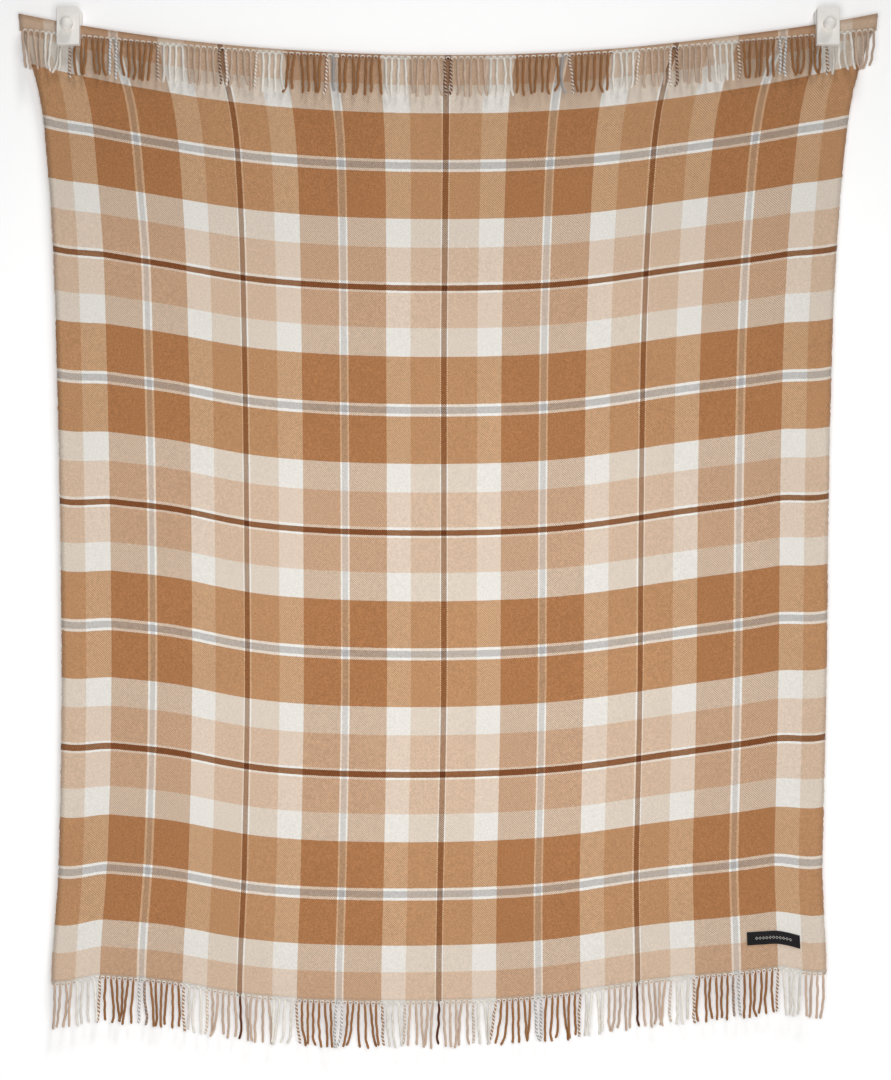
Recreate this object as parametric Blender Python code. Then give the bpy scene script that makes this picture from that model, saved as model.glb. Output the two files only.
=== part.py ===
"""A fringed plaid blanket hung from two wooden wall clamps.

Metres, +Z up. The wall is the plane y = 0 and the front of the blanket faces -Y. The origin is on the
wall, midway between the clamps, at the height of their bolts.

The blanket is one length of cloth. Its top end is folded over to the front, so it has two layers there,
and each cut end is whipped with thread and ends in twisted cords. u runs across the cloth from its middle
and v runs down it from the fold, both in metres of hanging cloth.
"""

import math

import bmesh
import bpy

# Clearance between two pieces that touch on the real object.
GAP = 0.0003

# Cloth
CLOTH_WIDTH = 1.2805
CLOTH_LENGTH = 1.570
CLOTH_THICKNESS = 0.002
FOLD_DROP = 0.0446
TOP_DROP = 0.0024
TOP_DROP_REACH = 0.08
FLAP_AT_MIDDLE = 0.0028
FLAP_AT_CORNER = 0.0233
FOLD_STEPS = 4

# How the hanging cloth sags, spreads and drifts
MIDDLE_SAG = 0.050
TOP_EXTRA_SAG = 0.019
TOP_SAG_REACH = 0.200
BOTTOM_LOST_SAG = 0.008
TOP_SPREAD = 0.1124
WAIST_SPREAD = -0.016
CORNER_SPREAD = 0.035
CORNER_REACH = 0.085
SPREAD_REACH = 0.320
INNER_SPREAD = 0.0017
FOLD_INNER_SPREAD = 0.0116
INNER_REACH = 0.14
LEFT_GATHER = 0.0045
LEFT_SWELL = 0.0105
LEFT_SWELL_AT = 0.71
LEFT_SWELL_WIDTH = 0.165
RIGHT_SWELL = 0.0108
RIGHT_SWELL_AT = 0.615
RIGHT_SWELL_WIDTH = 0.24
HEM_SWELL = 0.0066
HEM_SPREAD = 0.016
HEM_SPREAD_REACH = 0.22
TOP_DRIFT = -0.0035
MIDDLE_DRIFT = -0.0035
BOTTOM_DRIFT = -0.0085
BOTTOM_REACH = 0.50
BOTTOM_SKEW = 0.0085
SKEW_START = 0.35
SKEW_END = 1.25
TOP_DROOP = 0.003
MIDDLE_DROOP = 0.0115
BOTTOM_DROOP = 0.008
DROOP_FULL_AT = 0.80
DROOP_FROM_SHARE = 0.86

# Colour blocks of the warp, from the middle of the cloth outwards
BEIGE_BLOCK = 0.1087
WHITE_BLOCK = 0.0404
BROWN_BLOCK = 0.1383

# Cut ends
STITCH_HEIGHT = 0.003
TOP_FRINGE_LENGTH = 0.064
BOTTOM_FRINGE_LENGTH = 0.074
FRINGE_THICKNESS = 0.002

# Label
LABEL_WIDTH = 0.088
LABEL_HEIGHT = 0.0215
LABEL_THICKNESS = 0.0008
LABEL_FROM_SELVEDGE = 0.0860
LABEL_ABOVE_HEM = 0.0525
LABEL_SEAM_INSET = 0.0016
LABEL_SEAM_WIDTH = 0.0008
LABEL_SEAM_THICKNESS = 0.0005

# Clamps
CLAMP_INSET = 0.0847
PLATE_WIDTH = 0.0375
PLATE_HEIGHT = 0.0625
PLATE_THICKNESS = 0.012
PLATE_CORNER_CUT = 0.0035
PLATE_EDGE_BEVEL = 0.0012
WALL_SCREW_HEIGHT = 0.020
WALL_SCREW_HOLE_RADIUS = 0.00225
WALL_SCREW_HEAD_RADIUS = 0.0045
WALL_SCREW_HEAD_DEPTH = 0.003
BOLT_RADIUS = 0.003175
BOLT_CLEARANCE = 0.0004
BOLT_HEAD_RADIUS = 0.0056
BOLT_HEAD_THICKNESS = 0.0026
BOLT_HEAD_BELOW_BACK = 0.0005
BOLT_ENGAGEMENT = 0.0078
KNOB_RADIUS = 0.0104
KNOB_HEIGHT = 0.0145
KNOB_FOOT_RADIUS = 0.0074
KNOB_WIDEST_AT = 0.0062
INSERT_WALL = 0.0012
INSERT_LENGTH = 0.0090
KNOB_BORE_EXTRA = 0.0015
CLOTH_TO_BOLT = 0.0022
DIP_WIDTH = 0.010
DIP_REACH = 0.030

# Fineness of the meshes
TURN_STEPS = 24
DOME_STEPS = 7
COLUMN_STEP = 0.040
CLOTH_ROWS = 16
CLOTH_ROW_CROWDING = 1.3
DIP_COLUMNS = (-0.020, -0.0155, -0.012, -0.009, -0.006, -0.003, 0, 0.003, 0.006, 0.009, 0.012, 0.0155, 0.020)
LEAST_COLUMN = 0.0015

# Places that follow from the sizes above
HALF_WIDTH = CLOTH_WIDTH / 2
LAYER_PITCH = CLOTH_THICKNESS + GAP
FOLD_RADIUS = LAYER_PITCH / 2
BACK_LAYER_Y = -(PLATE_THICKNESS + GAP + CLOTH_THICKNESS / 2)
FRONT_LAYER_Y = BACK_LAYER_Y - LAYER_PITCH
JAW_BACK_Y = FRONT_LAYER_Y - CLOTH_THICKNESS / 2 - GAP
JAW_FRONT_Y = JAW_BACK_Y - PLATE_THICKNESS
KNOB_BASE_Y = JAW_FRONT_Y - GAP
BOLT_HOLE_RADIUS = BOLT_RADIUS + BOLT_CLEARANCE
CLAMP_SHARE = 1 - CLAMP_INSET / (1 + TOP_SPREAD) / HALF_WIDTH
CLAMP_X = CLAMP_SHARE * HALF_WIDTH * (1 + TOP_SPREAD)
CLAMP_U = (CLAMP_X - (INNER_SPREAD + FOLD_INNER_SPREAD) * math.sin(math.pi * CLAMP_SHARE)) / (1 + TOP_SPREAD)


def clear_scene():
    for thing in list(bpy.data.objects):
        bpy.data.objects.remove(thing)


# ---------------------------------------------------------------- materials


def material(name, colour, roughness, metallic=0.0):
    made = bpy.data.materials.new(name)
    made.use_nodes = True
    shader = made.node_tree.nodes["Principled BSDF"]
    shader.inputs["Base Color"].default_value = (*colour, 1.0)
    shader.inputs["Roughness"].default_value = roughness
    shader.inputs["Metallic"].default_value = metallic
    return made


# ---------------------------------------------------------------- mesh helpers


def add_object(name, mesh_maker, surface, smooth=True, location=(0, 0, 0)):
    """Turns a filled bmesh into a named object with its material."""
    bmesh.ops.recalc_face_normals(mesh_maker, faces=mesh_maker.faces)
    mesh = bpy.data.meshes.new(name)
    mesh_maker.to_mesh(mesh)
    mesh_maker.free()
    made = bpy.data.objects.new(name, mesh)
    made.location = location
    bpy.context.scene.collection.objects.link(made)
    if smooth:
        mesh.shade_smooth()
        mesh.set_sharp_from_angle(angle=math.radians(35))
    if surface:
        mesh.materials.append(surface)
    return made


def turned(profile):
    """A solid turned round the Y axis from (radius, distance along -Y) points, both ends on the axis."""
    made = bmesh.new()
    line = [made.verts.new((radius, -out, 0)) for radius, out in profile]
    edges = [made.edges.new(pair) for pair in zip(line, line[1:])]
    bmesh.ops.spin(
        made, geom=line + edges, cent=(0, 0, 0), axis=(0, 1, 0), angle=math.tau, steps=TURN_STEPS
    )
    bmesh.ops.remove_doubles(made, verts=made.verts, dist=1e-6)
    return made


def cutter(name, profile, location):
    made = add_object(name, turned(profile), None, location=location)
    made.hide_render = True
    made.display_type = "WIRE"
    return made


def cut(target, tool):
    boolean = target.modifiers.new(tool.name, "BOOLEAN")
    boolean.operation = "DIFFERENCE"
    boolean.object = tool


def sheet(name, rows, surface, thickness):
    """A closed slab made from rows of points on its middle surface."""
    made = bmesh.new()
    grid = [[made.verts.new(point) for point in row] for row in rows]
    for upper, lower in zip(grid, grid[1:]):
        for i in range(len(upper) - 1):
            made.faces.new((upper[i], upper[i + 1], lower[i + 1], lower[i]))
    slab = add_object(name, made, surface, smooth=False)
    thicken = slab.modifiers.new("thickness", "SOLIDIFY")
    thicken.thickness = thickness
    thicken.offset = 0
    thicken.use_even_offset = True
    return slab


# ---------------------------------------------------------------- shape of the hanging cloth


def ease(start, end, value):
    t = min(max((value - start) / (end - start), 0), 1)
    return t * t * (3 - 2 * t)


def flap_length(u):
    """How far the folded-over end reaches down the front."""
    return FLAP_AT_MIDDLE + (FLAP_AT_CORNER - FLAP_AT_MIDDLE) * abs(u / HALF_WIDTH) ** 3


def hem_v(u):
    """The cut ends are parallel in the flat cloth, so the flap takes its length from the hem."""
    return CLOTH_LENGTH + FLAP_AT_MIDDLE - flap_length(u)


def low_share(v):
    return ease(CLOTH_LENGTH - BOTTOM_REACH, CLOTH_LENGTH, v)


def swell(share, v):
    """Two soft folds hang from the clamps and lift the cloth between them and the middle."""
    left = math.exp(-(((share + LEFT_SWELL_AT) / LEFT_SWELL_WIDTH) ** 2)) * min(v / 0.8, 1)
    grown = (0.3 + 0.7 * ease(0, 0.55, v)) * (1 - 0.35 * ease(0.6, 1, v))
    right = math.exp(-(((share - RIGHT_SWELL_AT) / RIGHT_SWELL_WIDTH) ** 2)) * grown
    low = math.exp(-(((share - 0.54) / 0.22) ** 2)) * ease(1.2, 1.5, v)
    return LEFT_SWELL * left + RIGHT_SWELL * right + HEM_SWELL * low


def cloth_x(u, v):
    share = u / HALF_WIDTH
    shoulders = TOP_SPREAD - WAIST_SPREAD - CORNER_SPREAD
    spread = 1 + WAIST_SPREAD + CORNER_SPREAD * math.exp(-((v / CORNER_REACH) ** 2)) + shoulders * math.exp(-v / SPREAD_REACH)
    spread += HEM_SPREAD * ease(CLOTH_LENGTH - HEM_SPREAD_REACH, CLOTH_LENGTH, v)
    drift = TOP_DRIFT * ease(0, 0.06, v) + MIDDLE_DRIFT * ease(0.06, 0.55, v) + BOTTOM_DRIFT * ease(1.0, CLOTH_LENGTH, v)
    inner = (INNER_SPREAD + FOLD_INNER_SPREAD * math.exp(-v / INNER_REACH)) * math.sin(math.pi * share)
    gathered = LEFT_GATHER * math.exp(-(((share + 0.8) / 0.16) ** 2)) * ease(0.2, 0.4, v) * (1 - ease(1.2, 1.5, v))
    return drift + u * spread + inner + gathered


def bolt_dip(u, v):
    """The fold is pushed down between the plates, so that it passes under the bolt."""
    top_sag = (MIDDLE_SAG + TOP_EXTRA_SAG) * (CLAMP_U / HALF_WIDTH) ** 2
    fold = top_sag - FOLD_DROP - TOP_DROP + swell(math.copysign(CLAMP_U / HALF_WIDTH, u), 0)
    rest = fold + FOLD_RADIUS + CLOTH_THICKNESS / 2
    depth = min(max(rest + BOLT_RADIUS + CLOTH_TO_BOLT, 0), 0.8 * DIP_REACH)
    across = (abs(u) - CLAMP_U) * (1 + TOP_SPREAD) / DIP_WIDTH
    return depth * math.exp(-across * across) * max(0, 1 - v / DIP_REACH)


def cloth_z(u, v):
    share = u / HALF_WIDTH
    sag = MIDDLE_SAG + TOP_EXTRA_SAG * math.exp(-v / TOP_SAG_REACH) - BOTTOM_LOST_SAG * low_share(v)
    droop = TOP_DROOP + MIDDLE_DROOP * min(v / DROOP_FULL_AT, 1) + BOTTOM_DROOP * low_share(v)
    droop *= ease(DROOP_FROM_SHARE, 1, abs(share)) * ease(0, TOP_SAG_REACH, v)
    skew = BOTTOM_SKEW * share * ease(SKEW_START, SKEW_END, v)
    drop = FOLD_DROP + TOP_DROP * math.exp(-v / TOP_DROP_REACH)
    return -drop - v + sag * share * share + swell(share, v) - droop + skew - bolt_dip(u, v)


def colour_blocks():
    """(colour, left edge, right edge) of each warp block, from left to right."""
    cycle = (("white", WHITE_BLOCK), ("brown", BROWN_BLOCK), ("white", WHITE_BLOCK), ("beige", BEIGE_BLOCK))
    right = []
    edge = BEIGE_BLOCK / 2
    turn = 0
    while edge < HALF_WIDTH - LEAST_COLUMN:
        colour, width = cycle[turn % len(cycle)]
        end = min(edge + width, HALF_WIDTH)
        if HALF_WIDTH - end < LEAST_COLUMN:
            end = HALF_WIDTH
        right.append((colour, edge, end))
        edge = end
        turn += 1
    left = [(colour, -end, -start) for colour, start, end in reversed(right)]
    return left + [("beige", -BEIGE_BLOCK / 2, BEIGE_BLOCK / 2)] + right


def cloth_columns(blocks):
    """Places across the cloth where its mesh has a column: block edges, even steps and round the bolts."""
    places = [blocks[0][1]]
    for _, start, end in blocks:
        steps = math.ceil((end - start) / COLUMN_STEP)
        places += [start + (end - start) * i / steps for i in range(1, steps + 1)]
    for side in (-1, 1):
        places += [side * CLAMP_U + offset / (1 + TOP_SPREAD) for offset in DIP_COLUMNS]
    fixed = {round(edge, 6) for _, start, end in blocks for edge in (start, end)}
    columns = []
    for place in sorted(p for p in places if abs(p) <= HALF_WIDTH + 1e-9):
        if columns and place - columns[-1] < LEAST_COLUMN:
            if round(place, 6) in fixed:
                columns[-1] = place
            continue
        columns.append(place)
    return columns


# ---------------------------------------------------------------- blanket


def woven_cloth(columns, surface):
    rows = []
    for share in (1, 0.5, 0):
        rows.append(
            [(cloth_x(u, share * flap_length(u)), FRONT_LAYER_Y, cloth_z(u, share * flap_length(u))) for u in columns]
        )
    middle_y = (FRONT_LAYER_Y + BACK_LAYER_Y) / 2
    for step in range(1, FOLD_STEPS):
        turn = math.pi * step / FOLD_STEPS
        y = middle_y - FOLD_RADIUS * math.cos(turn)
        rows.append([(cloth_x(u, 0), y, cloth_z(u, 0) + FOLD_RADIUS * math.sin(turn)) for u in columns])
    for step in range(CLOTH_ROWS + 1):
        share = (step / CLOTH_ROWS) ** CLOTH_ROW_CROWDING
        row = [(u, hem_v(u) * share) for u in columns]
        rows.append([(cloth_x(u, v), BACK_LAYER_Y, cloth_z(u, v)) for u, v in row])
    sheet("woven_cloth", rows, surface, CLOTH_THICKNESS)


def top_end(u):
    """Where the folded-over end is cut: (x, z) of its edge."""
    v = flap_length(u)
    return cloth_x(u, v), cloth_z(u, v)


def bottom_end(u):
    return cloth_x(u, hem_v(u)), cloth_z(u, hem_v(u))


def band_below(name, edge, us, y, start, height, thickness, surface, trim=0.0):
    """A strip that hangs from a cut end, starting a set distance below it."""
    points = [edge(u) for u in us]
    places = [[x, z] for x, z in points]
    places[0][0] += trim
    places[-1][0] -= trim
    rows = [[(x, y, z - start - height * share) for x, z in places] for share in (0, 1)]
    sheet(name, rows, surface, thickness)


def cut_end(end_name, edge, y, cord_length, blocks, columns, thread, cord_materials):
    """The whipped stitching and the fringe of one end."""
    band_below(f"{end_name}_whip_stitching", edge, columns, y, GAP, STITCH_HEIGHT, CLOTH_THICKNESS, thread)
    for number, (colour, start, end) in enumerate(blocks, 1):
        inside = [u for u in columns if start - 1e-6 <= u <= end + 1e-6]
        band_below(
            f"{end_name}_fringe_{number:02d}_{colour}",
            edge,
            inside,
            y,
            STITCH_HEIGHT + 2 * GAP,
            cord_length,
            FRINGE_THICKNESS,
            cord_materials[colour],
            trim=GAP / 2,
        )


def label(surface, thread):
    middle_u = HALF_WIDTH - LABEL_FROM_SELVEDGE
    middle_v = hem_v(middle_u) - LABEL_ABOVE_HEM
    label_y = BACK_LAYER_Y - CLOTH_THICKNESS / 2 - GAP - LABEL_THICKNESS / 2
    seam_y = label_y - LABEL_THICKNESS / 2 - GAP - LABEL_SEAM_THICKNESS / 2

    def place(across, down, y):
        u = middle_u + across
        v = middle_v + down
        return cloth_x(u, v), y, cloth_z(u, v)

    shares = (-0.5, -0.25, 0, 0.25, 0.5)
    rows = [[place(LABEL_WIDTH * a, LABEL_HEIGHT * d, label_y) for a in shares] for d in (-0.5, 0.5)]
    sheet("woven_label", rows, surface, LABEL_THICKNESS)

    half_width = LABEL_WIDTH / 2 - LABEL_SEAM_INSET
    half_height = LABEL_HEIGHT / 2 - LABEL_SEAM_INSET
    corners = ((-1, -1), (0, -1), (1, -1), (1, 1), (0, 1), (-1, 1))
    made = bmesh.new()
    rings = []
    for inset in (0, LABEL_SEAM_WIDTH):
        places = [place(a * (half_width - inset), d * (half_height - inset), seam_y) for a, d in corners]
        rings.append([made.verts.new(point) for point in places])
    outer, inner = rings
    for i in range(len(corners)):
        j = (i + 1) % len(corners)
        made.faces.new((outer[i], outer[j], inner[j], inner[i]))
    seam = add_object("label_stitching", made, thread, smooth=False)
    thicken = seam.modifiers.new("thickness", "SOLIDIFY")
    thicken.thickness = LABEL_SEAM_THICKNESS
    thicken.offset = 0


# ---------------------------------------------------------------- clamps


def plate(name, x, back_y, surface):
    """A wooden plate with cut top corners and eased edges, its origin on the bolt's axis."""
    half_width = PLATE_WIDTH / 2
    half_height = PLATE_HEIGHT / 2
    corner = PLATE_CORNER_CUT
    outline = (
        (-half_width, -half_height),
        (half_width, -half_height),
        (half_width, half_height - corner),
        (half_width - corner, half_height),
        (-half_width + corner, half_height),
        (-half_width, half_height - corner),
    )
    made = bmesh.new()
    face = made.faces.new([made.verts.new((px, 0, pz)) for px, pz in outline])
    grown = bmesh.ops.extrude_face_region(made, geom=[face])
    moved = [item for item in grown["geom"] if isinstance(item, bmesh.types.BMVert)]
    bmesh.ops.translate(made, verts=moved, vec=(0, -PLATE_THICKNESS, 0))
    board = add_object(name, made, surface, location=(x, back_y, 0))
    bevel = board.modifiers.new("eased edges", "BEVEL")
    bevel.width = PLATE_EDGE_BEVEL
    bevel.segments = 2
    return board


def back_plate(side, x, surface):
    board = plate(f"{side}_back_plate", x, 0, surface)
    through = PLATE_THICKNESS + 0.002
    head_room = BOLT_HEAD_RADIUS + GAP
    head_seat = BOLT_HEAD_BELOW_BACK + BOLT_HEAD_THICKNESS + GAP
    bolt_way = [
        (0, -0.002),
        (head_room, -0.002),
        (head_room, head_seat),
        (BOLT_HOLE_RADIUS, head_seat),
        (BOLT_HOLE_RADIUS, through),
        (0, through),
    ]
    cut(board, cutter(f"{side}_bolt_way", bolt_way, (x, 0, 0)))
    sink_start = PLATE_THICKNESS - WALL_SCREW_HEAD_DEPTH
    slope = (WALL_SCREW_HEAD_RADIUS - WALL_SCREW_HOLE_RADIUS) / WALL_SCREW_HEAD_DEPTH
    screw_way = [
        (0, -0.002),
        (WALL_SCREW_HOLE_RADIUS, -0.002),
        (WALL_SCREW_HOLE_RADIUS, sink_start),
        (WALL_SCREW_HOLE_RADIUS + slope * (through - sink_start), through),
        (0, through),
    ]
    cut(board, cutter(f"{side}_screw_way", screw_way, (x, 0, WALL_SCREW_HEIGHT)))


def front_jaw(side, x, surface):
    board = plate(f"{side}_front_jaw", x, JAW_BACK_Y, surface)
    through = PLATE_THICKNESS + 0.002
    way = [(0, -0.002), (BOLT_HOLE_RADIUS, -0.002), (BOLT_HOLE_RADIUS, through), (0, through)]
    cut(board, cutter(f"{side}_jaw_way", way, (x, JAW_BACK_Y, 0)))


def clamp_bolt(side, x, surface):
    head_start = BOLT_HEAD_BELOW_BACK
    head_end = head_start + BOLT_HEAD_THICKNESS
    tip = BOLT_ENGAGEMENT - KNOB_BASE_Y
    profile = [
        (0, head_start),
        (BOLT_HEAD_RADIUS - 0.0004, head_start),
        (BOLT_HEAD_RADIUS, head_start + 0.0004),
        (BOLT_HEAD_RADIUS, head_end),
        (BOLT_RADIUS, head_end),
        (BOLT_RADIUS, tip - 0.0006),
        (BOLT_RADIUS - 0.0006, tip),
        (0, tip),
    ]
    add_object(f"{side}_clamp_bolt", turned(profile), surface, location=(x, 0, 0))


def knob(side, x, surface):
    bore = BOLT_HOLE_RADIUS + INSERT_WALL + GAP
    bore_depth = INSERT_LENGTH + KNOB_BORE_EXTRA
    profile = [(0, bore_depth), (bore, bore_depth), (bore, 0), (KNOB_FOOT_RADIUS, 0)]
    for step in range(1, 4):
        turn = step / 3
        radius = KNOB_FOOT_RADIUS + (KNOB_RADIUS - KNOB_FOOT_RADIUS) * math.sin(turn * math.pi / 2)
        profile.append((radius, KNOB_WIDEST_AT * turn))
    for step in range(1, DOME_STEPS + 1):
        turn = math.pi / 2 * step / DOME_STEPS
        out = KNOB_WIDEST_AT + (KNOB_HEIGHT - KNOB_WIDEST_AT) * math.sin(turn)
        radius = KNOB_RADIUS * math.cos(turn) if step < DOME_STEPS else 0
        profile.append((radius, out))
    add_object(f"{side}_knob", turned(profile), surface, location=(x, KNOB_BASE_Y, 0))


def knob_insert(side, x, surface):
    inner = BOLT_HOLE_RADIUS
    outer = inner + INSERT_WALL
    profile = [(inner, GAP), (outer, GAP), (outer, INSERT_LENGTH), (inner, INSERT_LENGTH), (inner, GAP)]
    add_object(f"{side}_knob_insert", turned(profile), surface, location=(x, KNOB_BASE_Y, 0))


def main():
    clear_scene()
    cloth = material("plaid_cloth", (0.44, 0.26, 0.15), 0.95)
    thread = material("hem_thread", (0.74, 0.68, 0.60), 0.9)
    cord_materials = {
        "beige": material("fringe_beige", (0.53, 0.36, 0.25), 0.95),
        "white": material("fringe_white", (0.72, 0.65, 0.57), 0.95),
        "brown": material("fringe_brown", (0.36, 0.18, 0.085), 0.95),
    }
    black = material("label_black", (0.008, 0.007, 0.008), 0.7)
    black_thread = material("label_thread", (0.012, 0.011, 0.012), 0.6)
    paint = material("white_painted_wood", (0.77, 0.74, 0.69), 0.45)
    steel = material("bolt_steel", (0.55, 0.55, 0.56), 0.35, 1.0)
    brass = material("insert_brass", (0.70, 0.52, 0.22), 0.35, 1.0)

    blocks = colour_blocks()
    columns = cloth_columns(blocks)
    woven_cloth(columns, cloth)
    cut_end("top", top_end, FRONT_LAYER_Y, TOP_FRINGE_LENGTH, blocks, columns, thread, cord_materials)
    cut_end("bottom", bottom_end, BACK_LAYER_Y, BOTTOM_FRINGE_LENGTH, blocks, columns, thread, cord_materials)
    label(black, black_thread)

    for side, x in (("left", -CLAMP_X), ("right", CLAMP_X)):
        back_plate(side, x, paint)
        clamp_bolt(side, x, steel)
        front_jaw(side, x, paint)
        knob(side, x, paint)
        knob_insert(side, x, brass)


main()
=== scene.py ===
"""A fringed plaid blanket hung from two painted wooden clamps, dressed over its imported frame.

Metres, +Z up, the wall at y = 0 and the front of the blanket facing -Y. u runs across the flat cloth from
its middle. s runs along it from the folded-over cut end, and v runs down the hanging face from the fold.
"""

import math
import random

import bmesh
import bpy
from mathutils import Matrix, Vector, noise


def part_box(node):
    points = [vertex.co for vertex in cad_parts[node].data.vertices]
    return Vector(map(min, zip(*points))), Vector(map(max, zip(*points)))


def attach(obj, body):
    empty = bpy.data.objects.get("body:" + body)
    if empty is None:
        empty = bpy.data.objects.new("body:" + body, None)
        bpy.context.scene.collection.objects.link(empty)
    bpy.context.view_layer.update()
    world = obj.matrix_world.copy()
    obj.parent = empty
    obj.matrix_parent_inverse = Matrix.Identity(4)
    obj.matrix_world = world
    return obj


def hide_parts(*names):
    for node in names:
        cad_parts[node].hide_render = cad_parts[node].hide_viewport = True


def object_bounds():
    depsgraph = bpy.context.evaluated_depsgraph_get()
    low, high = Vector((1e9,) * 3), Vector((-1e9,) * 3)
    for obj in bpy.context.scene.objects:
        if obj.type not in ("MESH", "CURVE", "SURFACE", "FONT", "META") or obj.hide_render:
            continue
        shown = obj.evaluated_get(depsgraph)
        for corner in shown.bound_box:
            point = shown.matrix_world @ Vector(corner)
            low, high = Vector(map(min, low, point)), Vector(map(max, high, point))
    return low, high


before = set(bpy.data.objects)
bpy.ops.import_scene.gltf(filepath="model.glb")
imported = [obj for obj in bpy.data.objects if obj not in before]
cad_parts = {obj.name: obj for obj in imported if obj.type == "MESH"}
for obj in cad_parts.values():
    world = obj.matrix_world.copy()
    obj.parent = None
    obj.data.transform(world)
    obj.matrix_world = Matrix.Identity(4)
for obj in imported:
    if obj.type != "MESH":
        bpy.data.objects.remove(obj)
cad_low, cad_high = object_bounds()

# -------- sizes of the blanket

CLOTH_WIDTH = 1.2805
CLOTH_LENGTH = 1.570
HALF_WIDTH = CLOTH_WIDTH / 2
CLOTH_THICKNESS = 0.0018
FOLD_DROP = 0.0446
TOP_DROP = 0.0024
TOP_DROP_REACH = 0.08
FLAP_AT_MIDDLE = 0.0028
FLAP_AT_CORNER = 0.0233
FOLD_RADIUS = 0.00115
FOLD_ARC = math.pi * FOLD_RADIUS
FLAT_LENGTH = CLOTH_LENGTH + FLAP_AT_MIDDLE + FOLD_ARC

MIDDLE_SAG = 0.050
TOP_EXTRA_SAG = 0.019
TOP_SAG_REACH = 0.200
BOTTOM_LOST_SAG = 0.008
TOP_SPREAD = 0.1124
WAIST_SPREAD = -0.016
CORNER_SPREAD = 0.035
CORNER_REACH = 0.085
SPREAD_REACH = 0.320
INNER_SPREAD = 0.0017
FOLD_INNER_SPREAD = 0.0116
INNER_REACH = 0.14
LEFT_GATHER = 0.0045
LEFT_GATHER_AT = 0.8
LEFT_GATHER_WIDTH = 0.16
LEFT_SWELL = 0.0105
LEFT_SWELL_AT = 0.71
LEFT_SWELL_WIDTH = 0.165
RIGHT_SWELL = 0.0108
RIGHT_SWELL_AT = 0.615
RIGHT_SWELL_WIDTH = 0.24
HEM_SWELL = 0.0066
HEM_SWELL_AT = 0.54
HEM_SWELL_WIDTH = 0.22
HEM_SPREAD = 0.016
HEM_SPREAD_REACH = 0.22
TOP_DRIFT = -0.0035
MIDDLE_DRIFT = -0.0035
BOTTOM_DRIFT = -0.0085
BOTTOM_REACH = 0.50
BOTTOM_SKEW = 0.0085
SKEW_START = 0.35
SKEW_END = 1.25
TOP_DROOP = 0.003
MIDDLE_DROOP = 0.0115
BOTTOM_DROOP = 0.008
DROOP_FULL_AT = 0.80
DROOP_FROM_SHARE = 0.86
BOLT_DIP_WIDTH = 0.010
BOLT_DIP_REACH = 0.030
CLOTH_TO_BOLT = 0.0022
CLOTH_OFF_PLATE = 0.0013
BROAD_RIPPLE = 0.0035
NARROW_RIPPLE = 0.0050
EDGE_RIPPLE = 0.0022
CLOTH_COLUMNS = 150
CLOTH_ROWS = 214
FOLD_ROWS = 6

TOP_CORD_LENGTH = 0.0635
BOTTOM_CORD_LENGTH = 0.0735
TOP_CORDS = 138
BOTTOM_CORDS = 137
BLOCKS = 17
BEIGE_BLOCK = 0.1087
WHITE_BLOCK = 0.0404
BROWN_BLOCK = 0.1383
CORD_STEPS = 22
CORD_ROOT = 0.0025
HOOK_START = 0.78
JAW_SQUEEZE = 0.48
CORD_STAND_OFF = 0.0014
TOP_LAYER_STEP = 0.0042
BOTTOM_LAYER_STEP = 0.0040

# -------- sizes of the clamps

BOLT_RADIUS = 0.003175
BOLT_HOLE_RADIUS = 0.003575
BOLT_HEAD_SEAT_RADIUS = 0.0059
BOLT_HEAD_SEAT_DEPTH = 0.0034
SCREW_HEIGHT = 0.020
SCREW_HOLE_RADIUS = 0.00225
SCREW_SINK_DEPTH = 0.003
SCREW_SINK_SLOPE = 0.75
PLATE_CORNER_CUT = 0.0035
PLATE_ROUNDING = 0.0012
KNOB_FOOT_RADIUS = 0.0074
KNOB_FOOT_ROUNDING = 0.0003
KNOB_WIDEST_AT = 0.0062
KNOB_BORE_RADIUS = 0.005075
KNOB_BORE_DEPTH = 0.0105
PAST_FACE = 0.002
SHARP_FROM = math.radians(38)

# -------- places given by the frame

jaw_low, jaw_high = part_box("right_front_jaw")
plate_low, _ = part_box("right_back_plate")
knob_low, knob_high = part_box("right_knob")

CLAMP_X = (jaw_low.x + jaw_high.x) / 2
# The cloth's own place at a clamp, so that cloth_x there gives the bolt.
CLAMP_SHARE = CLAMP_X / (1 + TOP_SPREAD) / HALF_WIDTH
CLAMP_U = (CLAMP_X - (INNER_SPREAD + FOLD_INNER_SPREAD) * math.sin(math.pi * CLAMP_SHARE)) / (1 + TOP_SPREAD)
JAW_BACK_Y = jaw_high.y
PLATE_FRONT_Y = plate_low.y
BACK_LAYER_Y = PLATE_FRONT_Y - CLOTH_OFF_PLATE
FRONT_LAYER_Y = BACK_LAYER_Y - 2 * FOLD_RADIUS
KNOB_BASE_Y = knob_high.y

# -------- yarns and the order they are woven in

BROWN = (0.378, 0.179, 0.082)
BROWN_WEFT = (0.452, 0.192, 0.069)
WHITE = (0.842, 0.812, 0.757)
BEIGE = (0.615, 0.443, 0.308)
TAN = (0.720, 0.525, 0.385)
DARK_WARP = (0.108, 0.036, 0.012)
DARK_WEFT = (0.141, 0.035, 0.0080)
IVORY = (0.920, 0.900, 0.860)
GREY = (0.440, 0.425, 0.420)

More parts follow.
